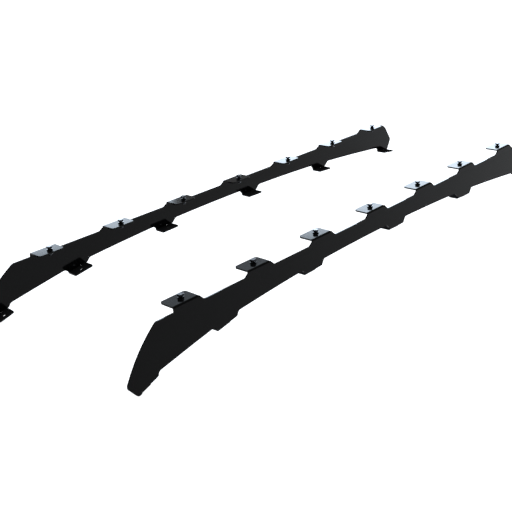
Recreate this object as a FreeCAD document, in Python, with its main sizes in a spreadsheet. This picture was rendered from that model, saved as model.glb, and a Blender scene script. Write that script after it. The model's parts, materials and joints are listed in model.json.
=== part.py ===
import FreeCAD, Part
import math
import os
from FreeCAD import Placement, Rotation, Vector

# A pair of foot rails for a roof rack. Each rail is one laser-cut plate, folded inwards: tabs along
# the top carry the rack, feet along the bottom follow the arch of the roof. Every tab holds a bolt.
#
# Frame: X runs across the pair, Y from the front end to the rear end, Z up. The origin lies midway
# between the rails, level with the tops of the tabs, at the middle tab.

doc = FreeCAD.newDocument("FootRails")
sheet = doc.addObject("Spreadsheet::Sheet", "Sizes")

# name, value in mm or degrees, what it is
driving = [
    ("rails_apart", 542, "between the outer faces of the plates, at the tab tops"),
    ("plate_lean", 8.2, "degrees that each plate leans out towards its feet"),
    ("plate_thick", 4, "sheet thickness"),
    ("bend_inside", 1, "inside radius of every fold"),
    ("relief_wide", 2, "slit behind a tab's fold, and ahead of the first foot's fold"),
    ("relief_behind", 4, "slit behind a foot's fold"),
    ("relief_past", 1, "how far a slit runs past the bend"),
    ("tab_count", 7, "tabs on each rail"),
    ("tab_pitch", 230, "from tab to tab"),
    ("tab_long", 74, "tab along the rail"),
    ("tab_deep", 45.5, "tab from the plate's outer face to its free edge"),
    ("tab_corner", 8, "radius of the tab's free corners"),
    ("tab_slot", 9, "width of the open slot for the bolt"),
    ("slot_mouth", 3, "radius at the slot's mouth"),
    ("bolt_inset", 25, "bolt from the plate's outer face"),
    ("bolt_shift", 6.5, "bolt behind the middle of its tab"),
    ("shoulder_drop", 13.2, "top edge between tabs, below the tab tops"),
    ("brow_drop", 11.5, "top edge ahead of the first tab, below the tab tops"),
    ("shoulder_run", 12, "length of the slope beside a tab"),
    ("shoulder_top", 1, "top of the slope behind a tab, below the tab tops"),
    ("shoulder_round", 8, "radius at the foot of that slope"),
    ("foot_deep", 34.5, "foot from the plate's outer face to its free edge"),
    ("fold_ahead", 32, "front end of a foot and of its fold, ahead of the foot's middle"),
    ("first_ahead", 18, "front end of the first foot, ahead of its middle"),
    ("fold_behind", 7, "rear end of the fold, behind the foot's middle"),
    ("foot_behind", 27, "rear end of the foot, behind its middle"),
    ("foot_corner", 4, "radius of the foot's free corners"),
    ("foot_hole", 9, "hole for the roof bolt"),
    ("hole_inset", 20.5, "hole from the plate's outer face"),
    ("lug_step", 4.5, "a lug's flat edge above the underside of the foot"),
    ("lug_behind", 20.5, "flat edge behind the slit"),
    ("lug_slope", 45, "degrees between a lug's front and its foot"),
    ("lug_back", 50, "degrees between a lug's back and its foot"),
    ("lug_round", 5, "radius at the back of a lug"),
    ("lug_fillet", 10, "radius where a lug joins the lower edge"),
    ("arch_round", 8000, "radius of the lower edge between two feet"),
    ("arch_clear", 65, "straight stretch of the lower edge on each side of a foot's middle"),
    ("nose_ahead", 89, "corner at the front of the top edge, ahead of the first tab's middle"),
    ("nose_round", 15, "radius of that corner"),
    ("toe_ahead", 194.5, "foremost corner of the plate, ahead of the first tab's middle"),
    ("toe_drop", 118, "foremost corner below the tab tops"),
    ("toe_round", 10, "radius of the foremost corner"),
    ("toe_behind", 31, "corner under the foremost one, ahead of the first foot's middle"),
    ("toe_under", 10, "radius of that corner"),
    ("brow_bulge", 13, "crown of the sloping front edge"),
    ("brow_round", 370, "radius of the sloping front edge"),
    ("tail_behind", 109.5, "corner at the rear of the top edge, behind the last tab's middle"),
    ("tail_round", 60, "radius of that corner"),
    ("tip_behind", 165.5, "rearmost corner of the plate, behind the last tab's middle"),
    ("tip_drop", 84.5, "rearmost corner below the tab tops"),
    ("tip_round", 12, "radius of the rearmost corner"),
    ("bolt_thread", 8, "diameter of the bolts"),
    ("bolt_under", 20, "length of a bolt under its head"),
    ("bolt_play", 0.05, "play between bolt and nut, all round"),
    ("head_flats", 13, "hexagon of bolt heads and nuts, across flats"),
    ("head_high", 5.3, "height of a bolt head"),
    ("nut_high", 6.5, "height of a nut"),
    ("crown_angle", 30, "degrees of the chamfer on heads and nuts"),
    ("crown_face", 0.95, "face of the chamfer as a share of the flats"),
    ("lip_gap", 2, "left under a bolt head for the lip of the rack's channel"),
    ("washer_wide", 16, "outside diameter of the washers"),
    ("washer_hole", 8.4, "hole in the washers"),
    ("washer_thick", 1.6, "thickness of the washers"),
]

# the feet follow the arch of the roof: the tab that each stands by, how far behind that tab's middle,
# its underside below the tab tops, its tilt, and the plate's lower edge above its underside
feet = {
    "foot_1": (1, -140.5, 139.4, 16.6, 16.8),
    "foot_2": (1, 105.5, 97, 9, 17.4),
    "foot_3": (3, -47, 78.2, 1.2, 17.8),
    "foot_4": (4, 80.5, 76.7, -1.3, 19.2),
    "foot_5": (6, -28.5, 90.8, -3.7, 21),
    "foot_6": (7, 121.5, 123, -8, 18),
}
for name, (number, behind, drop, tilt, lug) in feet.items():
    driving.append((name + "_tab", number, "number of the tab that the foot stands by"))
    driving.append((name + "_behind", behind, "middle of the foot behind that tab's middle"))
    driving.append((name + "_drop", drop, "underside of the foot below the tab tops"))
    driving.append((name + "_tilt", tilt, "degrees the foot rises towards the rear"))
    driving.append((name + "_lug", lug, "plate's lower edge above the underside of the foot"))

for row, (alias, value, note) in enumerate(driving, start=1):
    sheet.set("A%d" % row, alias)
    sheet.set("B%d" % row, str(value))
    sheet.setAlias("B%d" % row, alias)
    sheet.set("C%d" % row, note)
doc.recompute()


def size(alias):
    return float(getattr(sheet, alias))


# The rails are worked out in the frame of the right plate: its outer face is x = 0, inwards is -x,
# y runs along the rail and z up the plate, from the sharp corner that the plate makes with its tabs.
lean = math.radians(size("plate_lean"))
thick = size("plate_thick")
inward = Vector(-math.cos(lean), 0, math.sin(lean))
up = Vector(0, 0, 1)
along_rail = Vector(0, 1, 0)


def on_plate(y, z):
    return Vector(0, y, z)


def crossing(start_a, way_a, start_b, way_b):
    # the point of the plate where two of its edges would meet
    gap = start_b - start_a
    turn = way_a.y * way_b.z - way_a.z * way_b.y
    return start_a + way_a * ((gap.y * way_b.z - gap.z * way_b.y) / turn)


def rounded_face(corners):
    # a flat face through the corners, each a point and the radius that rounds it
    arcs = []
    for place, (corner, radius) in enumerate(corners):
        back = (corners[place - 1][0] - corner).normalize()
        ahead = (corners[(place + 1) % len(corners)][0] - corner).normalize()
        half = back.getAngle(ahead) / 2
        reach = radius / math.tan(half)
        middle = corner + (back + ahead).normalize() * (radius / math.sin(half) - radius)
        arcs.append((corner + back * reach, middle, corner + ahead * reach, radius))
    edges = []
    for place, (first, middle, last, radius) in enumerate(arcs):
        if radius > 0:
            edges.append(Part.Arc(first, middle, last).toShape())
        following = arcs[(place + 1) % len(arcs)][0]
        if last.distanceToPoint(following) > Part.Precision.confusion():
            edges.append(Part.LineSegment(last, following).toShape())
    return Part.Face(Part.Wire(edges))


def across(plate_way):
    # the way through a lip's thickness, from its outer side to its inner side
    normal = Vector(-inward.z, 0, inward.x)
    return normal if normal.dot(plate_way) > 0 else normal * -1


def fold_reach(plate_way):
    # from the sharp corner to where a slit ends, past the bend
    half = plate_way.getAngle(inward) / 2
    return (thick + size("bend_inside")) / math.tan(half) + size("relief_past")


def fold(plate_way, front, rear):
    # the bent strip between the plate and a lip, with the sharp outer corner along the y axis
    reach = fold_reach(plate_way)
    through = across(plate_way)
    inner = Vector(-thick, 0, thick * (1 + through.x) / through.z)
    profile = [
        Vector(),
        plate_way * reach,
        plate_way * reach + Vector(-thick, 0, 0),
        inner,
        inward * reach + through * thick,
        inward * reach,
    ]
    strip = Part.Face(Part.makePolygon(profile + profile[:1])).extrude(along_rail * (rear - front))
    outside = size("bend_inside") + thick
    for corner, radius in ((profile[0], outside), (inner, size("bend_inside"))):
        middle = corner + along_rail * ((rear - front) / 2)
        edge = min(strip.Edges, key=lambda e: e.CenterOfMass.distanceToPoint(middle))
        strip = strip.makeFillet(radius, [edge])
    strip.translate(along_rail * front)
    return strip


def lip(corners, plate_way):
    # the flat of a tab or foot: corners are (distance from the plate's corner, place along, radius)
    face = rounded_face([(inward * deep + along_rail * side, r) for deep, side, r in corners])
    return face.extrude(across(plate_way) * thick)


def tab():
    half = size("tab_long") / 2
    start = fold_reach(up * -1)
    slot = size("tab_slot") / 2
    mouth = size("slot_mouth")
    front = size("bolt_shift") - slot
    rear = size("bolt_shift") + slot
    end = size("bolt_inset") - slot
    flat = lip([
        (start, -half, 0),
        (size("tab_deep"), -half, size("tab_corner")),
        (size("tab_deep"), front, mouth),
        (end, front, slot),
        (end, rear, slot),
        (size("tab_deep"), rear, mouth),
        (size("tab_deep"), half, size("tab_corner")),
        (start, half, 0),
    ], up * -1)
    return fold(up * -1, -half, half).fuse(flat)


def foot(front):
    rear = size("foot_behind")
    start = fold_reach(up)
    flat = lip([
        (start, front, 0),
        (size("foot_deep"), front, size("foot_corner")),
        (size("foot_deep"), rear, size("foot_corner")),
        (start, rear, 0),
    ], up)
    through = across(up)
    middle = inward * size("hole_inset") + along_rail * ((front + rear) / 2)
    bore = Part.makeCylinder(size("foot_hole") / 2, 3 * thick, middle - through * thick, through)
    return fold(up, front, size("fold_behind")).fuse(flat.cut(bore))


def foot_front(name):
    return -size("first_ahead" if name == min(feet) else "fold_ahead")


def foot_place(name):
    middle = tab_middle(size(name + "_tab") - 1) + size(name + "_behind")
    tilt = Rotation(Vector(1, 0, 0), size(name + "_tilt"))
    return Placement(on_plate(middle, -size(name + "_drop")), tilt)


def tab_middle(number):
    return (number - (size("tab_count") - 1) / 2) * size("tab_pitch")


def nose():
    return on_plate(tab_middle(0) - size("nose_ahead"), -size("brow_drop"))


def top_edge():
    # from the front corner to the rear corner, over the shoulders of the tabs
    slit = -fold_reach(up * -1)
    half = size("tab_long") / 2
    drop = -size("shoulder_drop")
    edge = [(nose(), size("nose_round"))]
    for number in range(int(size("tab_count"))):
        front = tab_middle(number) - half
        rear = tab_middle(number) + half + size("relief_wide")
        if number == 0:
            edge.append((on_plate(front, -size("brow_drop")), 0))
        else:
            edge.append((on_plate(front - size("shoulder_run"), drop), size("shoulder_round")))
        edge.append((on_plate(front, slit), 0))
        edge.append((on_plate(rear, slit), 0))
        edge.append((on_plate(rear, -size("shoulder_top")), 0))
        edge.append((on_plate(rear + size("shoulder_run"), drop), size("shoulder_round")))
    tail = tab_middle(size("tab_count") - 1) + size("tail_behind")
    edge.append((on_plate(tail, drop), size("tail_round")))
    return edge


def arch(before, behind):
    # the crown of the lower edge between two feet, where its two straight stretches would meet
    half = (behind.y - before.y) / 2
    return (before + behind) * 0.5 + up * (half * (half - size("arch_clear")) / size("arch_round"))


def lower_edge():
    # from the first foot to the last, arched between the lugs
    places = [foot_place(name) for name in feet]
    webs = [place.Base + up * size(name + "_lug") for name, place in zip(feet, places)]
    crowns = [arch(before, behind) for before, behind in zip(webs, webs[1:])]
    slit = fold_reach(up)
    step = size("lug_step")
    behind = size("fold_behind") + size("relief_behind")
    slope = math.radians(size("lug_slope"))
    back = math.radians(size("lug_back"))
    edge = []
    for number, (name, place) in enumerate(zip(feet, places)):
        front = foot_front(name)
        corner = place.multVec(on_plate(front, slit))
        if number == 0:
            before = front - size("relief_wide")
            edge.append((place.multVec(on_plate(-size("toe_behind"), 0)), size("toe_under")))
            edge.append((place.multVec(on_plate(before, step / 2)), 0))
            edge.append((place.multVec(on_plate(before, slit)), 0))
        else:
            rise = place.Rotation.multVec(on_plate(-math.cos(slope), math.sin(slope)))
            notch = crossing(crowns[number - 1], webs[number] - crowns[number - 1], corner, rise)
            edge.append((crowns[number - 1], size("arch_round")))
            edge.append((notch, size("lug_fillet")))
            edge.append((corner, 0))
        heel = place.multVec(on_plate(behind + size("lug_behind"), step))
        edge.append((place.multVec(on_plate(behind, slit)), 0))
        edge.append((place.multVec(on_plate(behind, step)), 0))
        edge.append((heel, size("lug_round")))
        if number < len(crowns):
            rise = place.Rotation.multVec(on_plate(math.cos(back), math.sin(back)))
            root = crossing(webs[number], crowns[number] - webs[number], heel, rise)
            edge.append((root, size("lug_fillet")))
    return edge


def plate():
    toe = on_plate(tab_middle(0) - size("toe_ahead"), -size("toe_drop"))
    chord = (toe - nose()).normalize()
    crown = (nose() + toe) * 0.5 + on_plate(chord.z, -chord.y) * size("brow_bulge")
    tip = on_plate(tab_middle(size("tab_count") - 1) + size("tip_behind"), -size("tip_drop"))
    outline = [(crown, size("brow_round"))] + top_edge() + [(tip, size("tip_round"))]
    outline += list(reversed(lower_edge())) + [(toe, size("toe_round"))]
    return rounded_face(outline).extrude(Vector(-thick, 0, 0))


def rail():
    pieces = []
    for number in range(int(size("tab_count"))):
        piece = tab()
        piece.translate(along_rail * tab_middle(number))
        pieces.append(piece)
    for name in feet:
        piece = foot(foot_front(name))
        piece.Placement = foot_place(name)
        pieces.append(piece)
    return plate().fuse(pieces).removeSplitter()


right = doc.addObject("Part::Feature", "right_rail")
right.Shape = rail()
right.Placement = Placement(
    Vector(size("rails_apart") / 2, 0, 0), Rotation(along_rail, -size("plate_lean")))
left = doc.addObject("Part::Mirroring", "left_rail")
left.Source = right
left.Normal = Vector(1, 0, 0)
sub_parts = [right, left]


# Fasteners. Each stands on its tab with z = 0 at the tab's top.
def bound(kind, name, **sizes):
    thing = doc.addObject(kind, name)
    for prop, formula in sizes.items():
        thing.setExpression(prop.replace("_", "."), formula)
    return thing


def joined(kind, name, base, tool):
    thing = doc.addObject(kind, name)
    thing.Base = base
    thing.Tool = tool
    return thing


def crowned_hexagon(name, high, foot_at, pointing):
    # a hexagon whose far face is chamfered; pointing is 1 for a face on top, -1 for one below
    flats = "Sizes.head_flats"
    base = "%s + %d * %s" % (foot_at, min(pointing, 0), high)
    prism = bound("Part::Prism", name + "_hexagon", Circumradius=flats + " / sqrt(3)", Height=high)
    prism.setExpression("Placement.Base.z", base)
    wide = "%s * Sizes.crown_face / 2 + %s / tan(Sizes.crown_angle * 1 deg)" % (flats, high)
    face = "%s * Sizes.crown_face / 2" % flats
    ends = (wide, face) if pointing > 0 else (face, wide)
    cone = bound("Part::Cone", name + "_crown", Radius1=ends[0], Radius2=ends[1], Height=high)
    cone.setExpression("Placement.Base.z", base)
    common = doc.addObject("Part::Common", name + "_crowned")
    common.Base = prism
    common.Tool = cone
    return common


def cylinder(name, diameter, high, base):
    round_bar = bound("Part::Cylinder", name, Radius=diameter + " / 2", Height=high)
    round_bar.setExpression("Placement.Base.z", base)
    return round_bar


def seat(thing, side, number):
    # over the slot of its tab
    from_middle = "(%d - (Sizes.tab_count - 1) / 2)" % number
    thing.setExpression("Placement.Base.x", "%d * (Sizes.rails_apart / 2 - Sizes.bolt_inset)" % side)
    thing.setExpression("Placement.Base.y", from_middle + " * Sizes.tab_pitch + Sizes.bolt_shift")
    sub_parts.append(thing)


def bolt(name):
    head_seat = "Sizes.washer_thick + Sizes.lip_gap"
    head = crowned_hexagon(name, "Sizes.head_high", head_seat, 1)
    shank_end = head_seat + " - Sizes.bolt_under"
    shank = cylinder(name + "_shank", "Sizes.bolt_thread", "Sizes.bolt_under", shank_end)
    return joined("Part::Fuse", name, head, shank)


def washer(name, base):
    disc = cylinder(name + "_disc", "Sizes.washer_wide", "Sizes.washer_thick", base)
    hole = cylinder(name + "_hole", "Sizes.washer_hole", "Sizes.washer_thick", base)
    return joined("Part::Cut", name, disc, hole)


def nut(name):
    top = "-Sizes.plate_thick - Sizes.washer_thick"
    body = crowned_hexagon(name, "Sizes.nut_high", top, -1)
    bore_wide = "(Sizes.bolt_thread + 2 * Sizes.bolt_play)"
    bore = cylinder(name + "_bore", bore_wide, "Sizes.nut_high", top + " - Sizes.nut_high")
    return joined("Part::Cut", name, body, bore)


for side_name, side in (("left", -1), ("right", 1)):
    for number in range(int(size("tab_count"))):
        label = "%s_%%s_%d" % (side_name, number + 1)
        seat(bolt(label % "bolt"), side, number)
        seat(washer(label % "upper_washer", "0"), side, number)
        seat(washer(label % "lower_washer", "-Sizes.plate_thick - Sizes.washer_thick"), side, number)
        seat(nut(label % "nut"), side, number)

doc.recompute()
for thing in doc.Objects:
    if "Invalid" in thing.State or "Error" in thing.State:
        raise RuntimeError("%s did not build: %s" % (thing.Name, thing.State))
for thing in sub_parts:
    if thing.Shape.isNull() or not thing.Shape.isValid() or len(thing.Shape.Solids) != 1:
        raise RuntimeError("%s is not one sound solid" % thing.Label)

os.makedirs("parts", exist_ok=True)
for thing in sub_parts:
    thing.Shape.exportStep("parts/%s.step" % thing.Label)
    print(thing.Label, round(thing.Shape.Volume, 1))
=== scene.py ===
import json
import math

import bmesh
import bpy
import numpy as np
from mathutils import Matrix, Vector


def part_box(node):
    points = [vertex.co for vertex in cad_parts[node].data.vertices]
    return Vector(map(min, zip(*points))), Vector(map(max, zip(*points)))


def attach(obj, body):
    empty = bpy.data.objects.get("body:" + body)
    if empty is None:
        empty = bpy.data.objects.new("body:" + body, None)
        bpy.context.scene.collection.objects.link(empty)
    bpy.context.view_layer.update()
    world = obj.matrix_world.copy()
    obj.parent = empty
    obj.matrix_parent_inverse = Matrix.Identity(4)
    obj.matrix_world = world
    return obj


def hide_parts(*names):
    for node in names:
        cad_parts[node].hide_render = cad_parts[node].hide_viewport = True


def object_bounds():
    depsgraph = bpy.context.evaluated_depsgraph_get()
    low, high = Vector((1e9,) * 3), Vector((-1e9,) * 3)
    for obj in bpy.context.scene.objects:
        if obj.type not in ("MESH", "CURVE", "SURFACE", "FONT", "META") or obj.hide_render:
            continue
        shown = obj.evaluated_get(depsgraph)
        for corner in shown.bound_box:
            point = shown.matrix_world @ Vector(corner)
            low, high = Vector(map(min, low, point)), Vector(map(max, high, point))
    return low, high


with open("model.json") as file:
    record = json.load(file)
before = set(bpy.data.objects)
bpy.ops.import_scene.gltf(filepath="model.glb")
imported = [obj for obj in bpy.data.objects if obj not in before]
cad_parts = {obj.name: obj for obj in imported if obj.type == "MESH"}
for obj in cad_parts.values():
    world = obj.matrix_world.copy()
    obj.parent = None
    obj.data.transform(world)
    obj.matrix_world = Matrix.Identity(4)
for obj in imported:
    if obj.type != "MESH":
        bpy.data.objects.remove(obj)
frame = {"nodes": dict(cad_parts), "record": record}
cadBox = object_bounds()
print("frame loaded:", len(frame["nodes"]), "nodes")

scene = bpy.context.scene
scene.view_settings.view_transform = "Standard"
photoSize = 512.0  # the photograph's frame, in pixels
millimetre = 0.001


# Shader maths: a wrapped socket that takes the usual operators, so a mask reads as a formula.
class Tone:
    def __init__(self, tree, socket):
        self.tree = tree
        self.socket = socket

    # One node of any type: settings first, then the values or links of its sockets.
    # A socket goes by its name, or by its number as in0, in1 and so on.
    def node(self, kind, settings=None, out=0, **inputs):
        made = self.tree.nodes.new(kind)
        for name, value in (settings or {}).items():
            setattr(made, name, value)
        for name, value in inputs.items():
            numbered = name.startswith("in") and name[2:].isdigit()
            socket = made.inputs[int(name[2:]) if numbered else name]
            if isinstance(value, Tone):
                self.tree.links.new(value.socket, socket)
            else:
                socket.default_value = value
        return Tone(self.tree, made.outputs[out])

    def math(self, operation, other=0.0):
        return self.node("ShaderNodeMath", {"operation": operation}, in0=self, in1=other)

    def __add__(self, other):
        return self.math("ADD", other)

    def __sub__(self, other):
        return self.math("SUBTRACT", other)

    def __mul__(self, other):
        return self.math("MULTIPLY", other)

    __radd__ = __add__
    __rmul__ = __mul__


def newMaterial(name):
    material = bpy.data.materials.new(name)
    material.use_nodes = True
    shader = material.node_tree.nodes["Principled BSDF"]
    return material, shader, Tone(material.node_tree, None)


def feed(shader, name, tone):
    shader.id_data.links.new(tone.socket, shader.inputs[name])


def noise(maker, place, scale, detail=2.0):
    settings = {"noise_dimensions": "3D"}
    return maker.node("ShaderNodeTexNoise", settings, Vector=place, Scale=scale, Detail=detail)


def mixColours(maker, share, first, second):
    settings = {"data_type": "RGBA"}
    return maker.node("ShaderNodeMix", settings, out=2, in0=share, in6=first, in7=second)


# Height above the tab tops in metres, and how far up the surface faces, from -1 to 1.
def heightAndFacing(maker, place):
    normal = maker.node("ShaderNodeTexCoord", out="Normal")
    height = maker.node("ShaderNodeSeparateXYZ", out="Z", Vector=place)
    return height, maker.node("ShaderNodeSeparateXYZ", out="Z", Vector=normal)


# Black powder coat on the folded plates: near black, glossy at a low angle.
coat = {
    "dark": (0.0022, 0.0022, 0.0023, 1.0),
    "light": (0.0034, 0.0034, 0.0035, 1.0),
    "specular": 0.06,
    "roughness": 0.11,
    "roughnessSpread": 0.03,
    "footColour": (0.013, 0.013, 0.0135, 1.0),   # painted light: the upward tops of the feet get a lighter base colour than the rest of the coat, standing in for the light they catch
    "footRoughness": 0.8,
    "footSpecular": 0.0,
    "footBelow": -0.05,
    "footFacing": 0.7,
    "peelScale": 420.0,      # orange peel, cells per metre
    "peelHeight": 0.00002,
    "peelStrength": 0.2,
    "cloudScale": 7.0,
}


def makeCoat():
    material, shader, maker = newMaterial("blackPowderCoat")
    place = maker.node("ShaderNodeTexCoord", out="Object")
    peel = noise(maker, place, coat["peelScale"])
    cloud = noise(maker, place, coat["cloudScale"])
    feed(shader, "Base Color", mixColours(maker, cloud, coat["dark"], coat["light"]))
    feed(shader, "Roughness", coat["roughness"] + coat["roughnessSpread"] * (cloud - 0.5) * 2.0)
    bump = maker.node("ShaderNodeBump", None, Strength=coat["peelStrength"],
                      Distance=coat["peelHeight"], Height=peel)
    feed(shader, "Normal", bump)
    shader.inputs["Specular IOR Level"].default_value = coat["specular"]

    # Painted light: the coat's upward faces below the tab tops, the tops of the feet, take a lighter copy of the
    # coat with no reflection.
    tree = material.node_tree
    paintedLitFoot = tree.nodes.new("ShaderNodeBsdfPrincipled")
    paintedLitFoot.inputs["Base Color"].default_value = coat["footColour"]
    paintedLitFoot.inputs["Roughness"].default_value = coat["footRoughness"]
    paintedLitFoot.inputs["Specular IOR Level"].default_value = coat["footSpecular"]
    height, facing = heightAndFacing(maker, place)
    paintedLightOnFeet = facing.math("GREATER_THAN", coat["footFacing"]) * height.math("LESS_THAN", coat["footBelow"])
    both = tree.nodes.new("ShaderNodeMixShader")
    tree.links.new(paintedLightOnFeet.socket, both.inputs[0])
    tree.links.new(shader.outputs[0], both.inputs[1])
    tree.links.new(paintedLitFoot.outputs[0], both.inputs[2])
    tree.links.new(both.outputs[0], tree.nodes["Material Output"].inputs["Surface"])
    return material


# Black zinc on the fasteners: a dark metal with a fine grain, and a painted highlight: a lighter colour on the
# upward tops of the heads.
zinc = {
    "low": (0.020, 0.021, 0.024, 1.0),
    "high": (0.034, 0.036, 0.041, 1.0),
    "bright": (0.095, 0.1, 0.108, 1.0),
    "brightAbove": 0.006,
    "brightFacing": 0.95,
    "roughness": 0.20,
    "roughnessSpread": 0.2,
    "grainScale": 900.0,
}


def makeZinc():
    material, shader, maker = newMaterial("blackZinc")
    place = maker.node("ShaderNodeTexCoord", out="Object")
    grain = noise(maker, place, zinc["grainScale"])
    height, facing = heightAndFacing(maker, place)
    # Painted highlight: the faces that point up, above the tab tops, take the lighter colour.
    paintedHighlightMask = facing.math("GREATER_THAN", zinc["brightFacing"]) * height.math("GREATER_THAN", zinc["brightAbove"])
    plain = mixColours(maker, grain, zinc["low"], zinc["high"])
    feed(shader, "Base Color", mixColours(maker, paintedHighlightMask, plain, zinc["bright"]))
    feed(shader, "Roughness", zinc["roughness"] + zinc["roughnessSpread"] * (grain - 0.5))
    shader.inputs["Metallic"].default_value = 1.0
    return material


blackCoat = makeCoat()
blackZinc = makeZinc()
for nodeName, node in frame["nodes"].items():
    node.data.materials.clear()
    node.data.materials.append(blackCoat if nodeName.endswith("_rail") else blackZinc)
print("finishes on")


# Numbers of the points in a stack of closed rings, of their neighbours around the ring, and the quads between rings.
def ringFaces(rings, columns):
    here = np.arange(rings * columns).reshape(rings, columns)
    after = np.roll(here, -1, axis=1)
    quads = np.stack([here[:-1], after[:-1], after[1:], here[1:]], -1).reshape(-1, 4)
    return here, after, quads


def addPiece(name, points, faces, material):
    mesh = bpy.data.meshes.new(name)
    mesh.from_pydata(points.reshape(-1, 3).tolist(), [], faces)
    mesh.materials.append(material)
    piece = bpy.data.objects.new(name, mesh)
    scene.collection.objects.link(piece)
    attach(piece, "root")
    return piece


def smooth(mesh):
    mesh.polygons.foreach_set("use_smooth", np.ones(len(mesh.polygons), bool))


# Bolts: each is one closed surface of rings that stands for the plain CAD bolt.
bolt = {
    "thread": 0.008,
    "pitch": 0.00125,
    "depth": 0.00072,
    "crestShare": 0.14,     # flat crest and flat root, as shares of half a pitch
    "runOut": 0.0015,       # plain stretch under the head
    "flats": 0.013,
    "headHigh": 0.0053,
    "crownFace": 0.95,
    "crownAngle": 30.0,
    "sharpAngle": 28.0,
    "angles": 36,           # a multiple of six, so that each corner of the hexagon has its own column
    "ringsPerTurn": 8,
}


# Rings (radius, height) over the angle a, from the end of the shank to the top of the head:
#   thread   r = crest - depth clamp((|2 t - 1| - s) / (1 - 2 s)),  t = frac(z / pitch - a / 2 pi)
#            held under root + (z - low) at the end, and plain just under the head
#   hexagon  r = flats / 2 / cos((a mod 60) - 30)
#   crown    z = top - (r - face) tan(crownAngle), where the cone cuts the sides of the hexagon
def boltRings(low, top):
    turn = np.arange(bolt["angles"]) * (2 * np.pi / bolt["angles"])
    crest = bolt["thread"] / 2
    root = crest - bolt["depth"]
    seat = top - bolt["headHigh"]
    heights = np.linspace(low, seat, int((seat - low) / bolt["pitch"] * bolt["ringsPerTurn"]))[:, None]
    wave = np.abs(2 * ((heights / bolt["pitch"] - turn / (2 * np.pi)) % 1.0) - 1)
    share = bolt["crestShare"]
    groove = np.clip((wave - share) / (1 - 2 * share), 0, 1)
    groove = groove * np.clip((seat - heights) / bolt["runOut"], 0, 1)
    shank = np.minimum(crest - bolt["depth"] * groove, root + (heights - low))
    corner = bolt["flats"] / 2 / np.cos(turn % (np.pi / 3) - np.pi / 6)
    face = bolt["flats"] / 2 * bolt["crownFace"]
    even = np.ones_like(turn)
    crown = top - (corner - face) * np.tan(np.radians(bolt["crownAngle"]))
    radius = np.vstack([shank, corner, corner, face * even])
    height = np.vstack([heights * even, seat * even, crown, top * even])
    return turn, radius, height


def makeBolt(nodeName):
    lowest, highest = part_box(nodeName)
    centre = (lowest + highest) / 2
    turn, radius, height = boltRings(lowest.z, highest.z)
    rings, columns = radius.shape
    points = np.stack([centre.x + radius * np.cos(turn), centre.y + radius * np.sin(turn), height], -1)
    poles = np.array([[centre.x, centre.y, lowest.z], [centre.x, centre.y, highest.z]])
    here, after, sides = ringFaces(rings, columns)
    under = np.stack([np.full(columns, here.size), after[0], here[0]], -1)
    over = np.stack([np.full(columns, here.size + 1), here[-1], after[-1]], -1)
    points = np.vstack([points.reshape(-1, 3), poles])
    faces = sides.tolist() + under.tolist() + over.tolist()
    drawn = addPiece(nodeName + "_drawn", points, faces, blackZinc)
    smooth(drawn.data)
    drawn.data.set_sharp_from_angle(angle=math.radians(bolt["sharpAngle"]))
    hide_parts(nodeName)


boltNames = sorted(name for name in frame["nodes"] if "_bolt_" in name)
for nodeName in boltNames:
    makeBolt(nodeName)
print("bolts drawn")

# Fillers: one lies flush in the slot of each tab, from under the washer to the tab's free edge.
# Millimetres; inwards is counted from the bolt's axis.
filler = {
    "from": 4.4,
    "to": 20.5,
    "wide": 8.9,
    "mouth": 3.0,
    "top": -0.02,
    "low": -3.98,
    "rings": 17,
}


# Rings of four corners along the filler, at e into its mouth:
#   half width h = wide / 2 + mouth - sqrt(mouth^2 - e^2)
def makeFiller(nodeName):
    lowest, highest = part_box(nodeName)
    centre = (lowest + highest) / 2
    way = -np.sign(centre.x)
    inwards = np.linspace(filler["from"], filler["to"], filler["rings"])
    into = np.clip(inwards - filler["to"] + filler["mouth"], 0.0, filler["mouth"])
    half = filler["wide"] / 2 + filler["mouth"] - np.sqrt(filler["mouth"] ** 2 - into ** 2)
    across = np.stack([-half, half, half, -half], -1)
    level = np.broadcast_to([filler["low"], filler["low"], filler["top"], filler["top"]], across.shape)
    length = np.broadcast_to(inwards[:, None], across.shape)
    points = np.stack([centre.x + millimetre * way * length,
                       centre.y + millimetre * across,
                       millimetre * level], -1)
    here, after, sides = ringFaces(*across.shape)
    faces = np.vstack([sides, here[:1, ::-1], here[-1:]])
    if way < 0:
        faces = faces[:, ::-1]
    addPiece(nodeName.replace("bolt", "filler"), points, faces.tolist(), blackCoat)


for nodeName in boltNames:
    makeFiller(nodeName)
print("fillers drawn")

# Weld beads: one closes the slit behind the fold of each foot, between the plate's lug and the foot.
# Millimetres from the foot's hole: outwards, up, and along the rail.
weld = {
    "outwards": 15.2,
    "up": 1.6,
    "start": {"foot_1": 2.0, "others": 9.0},
    "long": 21.5,
    "radius": 2.3,
    "ripple": 0.07,
    "ripplePitch": 1.6,
    "rings": 61,
    "columns": 12,
    "mergeWithin": 1e-7,     # metres; each end of the bead closes in one point
}


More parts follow.
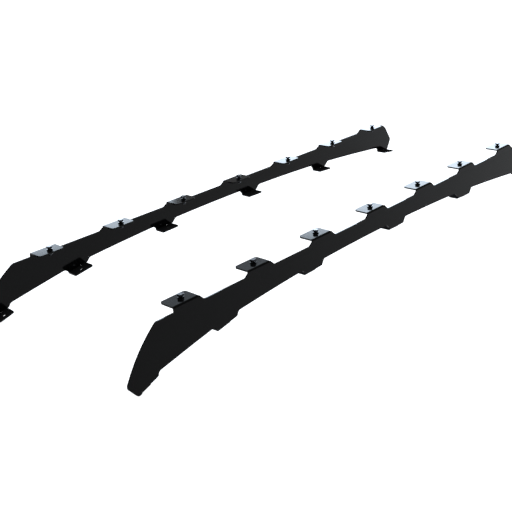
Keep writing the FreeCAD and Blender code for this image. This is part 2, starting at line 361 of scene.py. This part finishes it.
# Rings along the bead, at s from its start:
#   r = radius (1 + ripple cos(2 pi s / pitch)) sqrt(1 - (2 s / long - 1)^8)
def makeWeld(side, foot, mount):
    hole = np.array(mount["pos_m"])
    up = -np.array(mount["axis"])
    along = np.array([0.0, 1.0, 0.0]) - up[1] * up
    along = along / np.linalg.norm(along)
    out = np.cross(along, up)
    out = out * np.sign(out[0] * hole[0])
    begin = weld["start"].get(foot, weld["start"]["others"])
    run = np.linspace(0.0, weld["long"], weld["rings"])[:, None]
    taper = np.sqrt(np.clip(1 - (2 * run / weld["long"] - 1) ** 8, 0.0, 1.0))
    radius = weld["radius"] * (1 + weld["ripple"] * np.cos(2 * np.pi * run / weld["ripplePitch"])) * taper
    turn = np.arange(weld["columns"]) * (2 * np.pi / weld["columns"])
    aside = (weld["outwards"] + radius * np.cos(turn))[..., None] * out
    upward = (weld["up"] + radius * np.sin(turn))[..., None] * up
    onward = (begin + run)[..., None] * along
    points = hole + millimetre * (aside + upward + onward)
    here, after, faces = ringFaces(weld["rings"], weld["columns"])
    if np.dot(np.cross(out, up), along) < 0:
        faces = faces[:, ::-1]
    bead = addPiece("%s_weld_%s" % (side, foot), points, faces.tolist(), blackCoat)
    work = bmesh.new()
    work.from_mesh(bead.data)
    bmesh.ops.remove_doubles(work, verts=work.verts, dist=weld["mergeWithin"])
    work.to_mesh(bead.data)
    work.free()
    smooth(bead.data)


for mount in frame["record"]["mounts"]:
    if mount["name"].endswith("_hole"):
        side, foot = mount["name"].removesuffix("_hole").split("_", 1)
        makeWeld(side, foot, mount)
print("welds drawn")

# Stage: a white floor that keeps a faint shadow, with a low wall around it, lit by soft boxes.
stage = {
    "floorHalf": 30.0,
    "wallHigh": 4.5,
    "below": 0.0005,
    "glow": 0.9,
    "floorColour": (0.9, 0.9, 0.9, 1.0),
    "floorRoughness": 0.9,
}


def makeFloor():
    half = stage["floorHalf"]
    low = cadBox[0][2] - stage["below"]
    ground = [(-half, -half, low), (half, -half, low), (half, half, low), (-half, half, low)]
    rim = [(x, y, z + stage["wallHigh"]) for x, y, z in ground]
    walls = [(1, 0, 4, 5), (2, 1, 5, 6), (3, 2, 6, 7), (0, 3, 7, 4)]
    mesh = bpy.data.meshes.new("floor")
    mesh.from_pydata(ground + rim, [], [(0, 1, 2, 3)] + walls)
    floor = bpy.data.objects.new("floor", mesh)
    scene.collection.objects.link(floor)

    material, shader, maker = newMaterial("whiteFloor")
    seen = maker.node("ShaderNodeLightPath", out="Is Camera Ray")
    glossy = maker.node("ShaderNodeLightPath", out="Is Glossy Ray")
    through = maker.node("ShaderNodeLightPath", out="Is Transmission Ray")
    mask = (seen + glossy + through).math("MINIMUM", 1.0)
    shader.inputs["Base Color"].default_value = stage["floorColour"]
    shader.inputs["Roughness"].default_value = stage["floorRoughness"]
    shader.inputs["Specular IOR Level"].default_value = 0.0
    tree = material.node_tree
    glow = tree.nodes.new("ShaderNodeEmission")
    tree.links.new((mask * stage["glow"]).socket, glow.inputs["Strength"])
    both = tree.nodes.new("ShaderNodeAddShader")
    tree.links.new(shader.outputs[0], both.inputs[0])
    tree.links.new(glow.outputs[0], both.inputs[1])
    tree.links.new(both.outputs[0], tree.nodes["Material Output"].inputs["Surface"])
    mesh.materials.append(material)


makeFloor()

# World: even soft light.
sky = {"colour": (1.0, 1.0, 1.0, 1.0), "level": 0.35}
world = bpy.data.worlds.new("studio")
scene.world = world
world.use_nodes = True
background = world.node_tree.nodes["Background"]
background.inputs["Color"].default_value = sky["colour"]
background.inputs["Strength"].default_value = sky["level"]

# Soft boxes around the pair. The two bright ones stand far behind it, low enough to be mirrored
# in the tab tops, with a gap between them.
# Angles in degrees: azimuth from +Y towards -X, and the box's middle, width and height as seen from the pair.
softBoxes = {
    "rearBox": {"azimuth": 29.0, "elevation": 11.2, "wide": 28.0, "high": 22.4, "radiance": 8.5},
    "sideBox": {"azimuth": 65.0, "elevation": 10.5, "wide": 25.0, "high": 21.0, "radiance": 7.0},
    "hazeBox": {"azimuth": 45.0, "elevation": 30.0, "wide": 60.0, "high": 15.0, "radiance": 1.1},
    "topBox": {"azimuth": 150.0, "elevation": 80.0, "wide": 40.0, "high": 40.0, "radiance": 1.2},
}
boxDistance = 12.0
boxTint = (0.86, 1.0, 1.15)


def makeSoftBox(name, box):
    around = math.radians(box["azimuth"])
    rise = math.radians(box["elevation"])
    way = Vector((-math.sin(around) * math.cos(rise), math.cos(around) * math.cos(rise), math.sin(rise)))
    lamp = bpy.data.lights.new(name, "AREA")
    lamp.shape = "RECTANGLE"
    lamp.size = 2 * boxDistance * math.tan(math.radians(box["wide"] / 2))
    lamp.size_y = 2 * boxDistance * math.tan(math.radians(box["high"] / 2))
    lamp.energy = box["radiance"] * math.pi * lamp.size * lamp.size_y
    lamp.color = boxTint
    shown = bpy.data.objects.new(name, lamp)
    shown.location = way * boxDistance
    shown.rotation_euler = (-way).to_track_quat("-Z", "Y").to_euler()
    scene.collection.objects.link(shown)


for boxName, box in softBoxes.items():
    makeSoftBox(boxName, box)
print("stage lit")

# Camera, fitted to the tabs and bolts of both rails in the photograph.
view = {
    "place": (1.55488, -1.77278, 0.78403),
    "azimuth": 44.539,
    "elevation": 22.456,
    "roll": -4.132,
    "focalPixels": 863.205,
    "sensor": 36.0,
}


def makeCamera():
    turn = math.radians(view["azimuth"])
    rise = math.radians(view["elevation"])
    back = Vector((math.sin(turn) * math.cos(rise), -math.cos(turn) * math.cos(rise), math.sin(rise)))
    right = (-back).cross(Vector((0.0, 0.0, 1.0))).normalized()
    above = right.cross(-back)
    roll = math.radians(view["roll"])
    side = right * math.cos(roll) + above * math.sin(roll)
    top = above * math.cos(roll) - right * math.sin(roll)
    data = bpy.data.cameras.new("camera")
    data.sensor_fit = "HORIZONTAL"
    data.sensor_width = view["sensor"]
    data.lens = view["focalPixels"] / photoSize * view["sensor"]
    camera = bpy.data.objects.new("camera", data)
    camera.matrix_world = Matrix.Translation(view["place"]) @ Matrix((side, top, back)).transposed().to_4x4()
    scene.collection.objects.link(camera)
    scene.camera = camera


makeCamera()
print("camera placed")
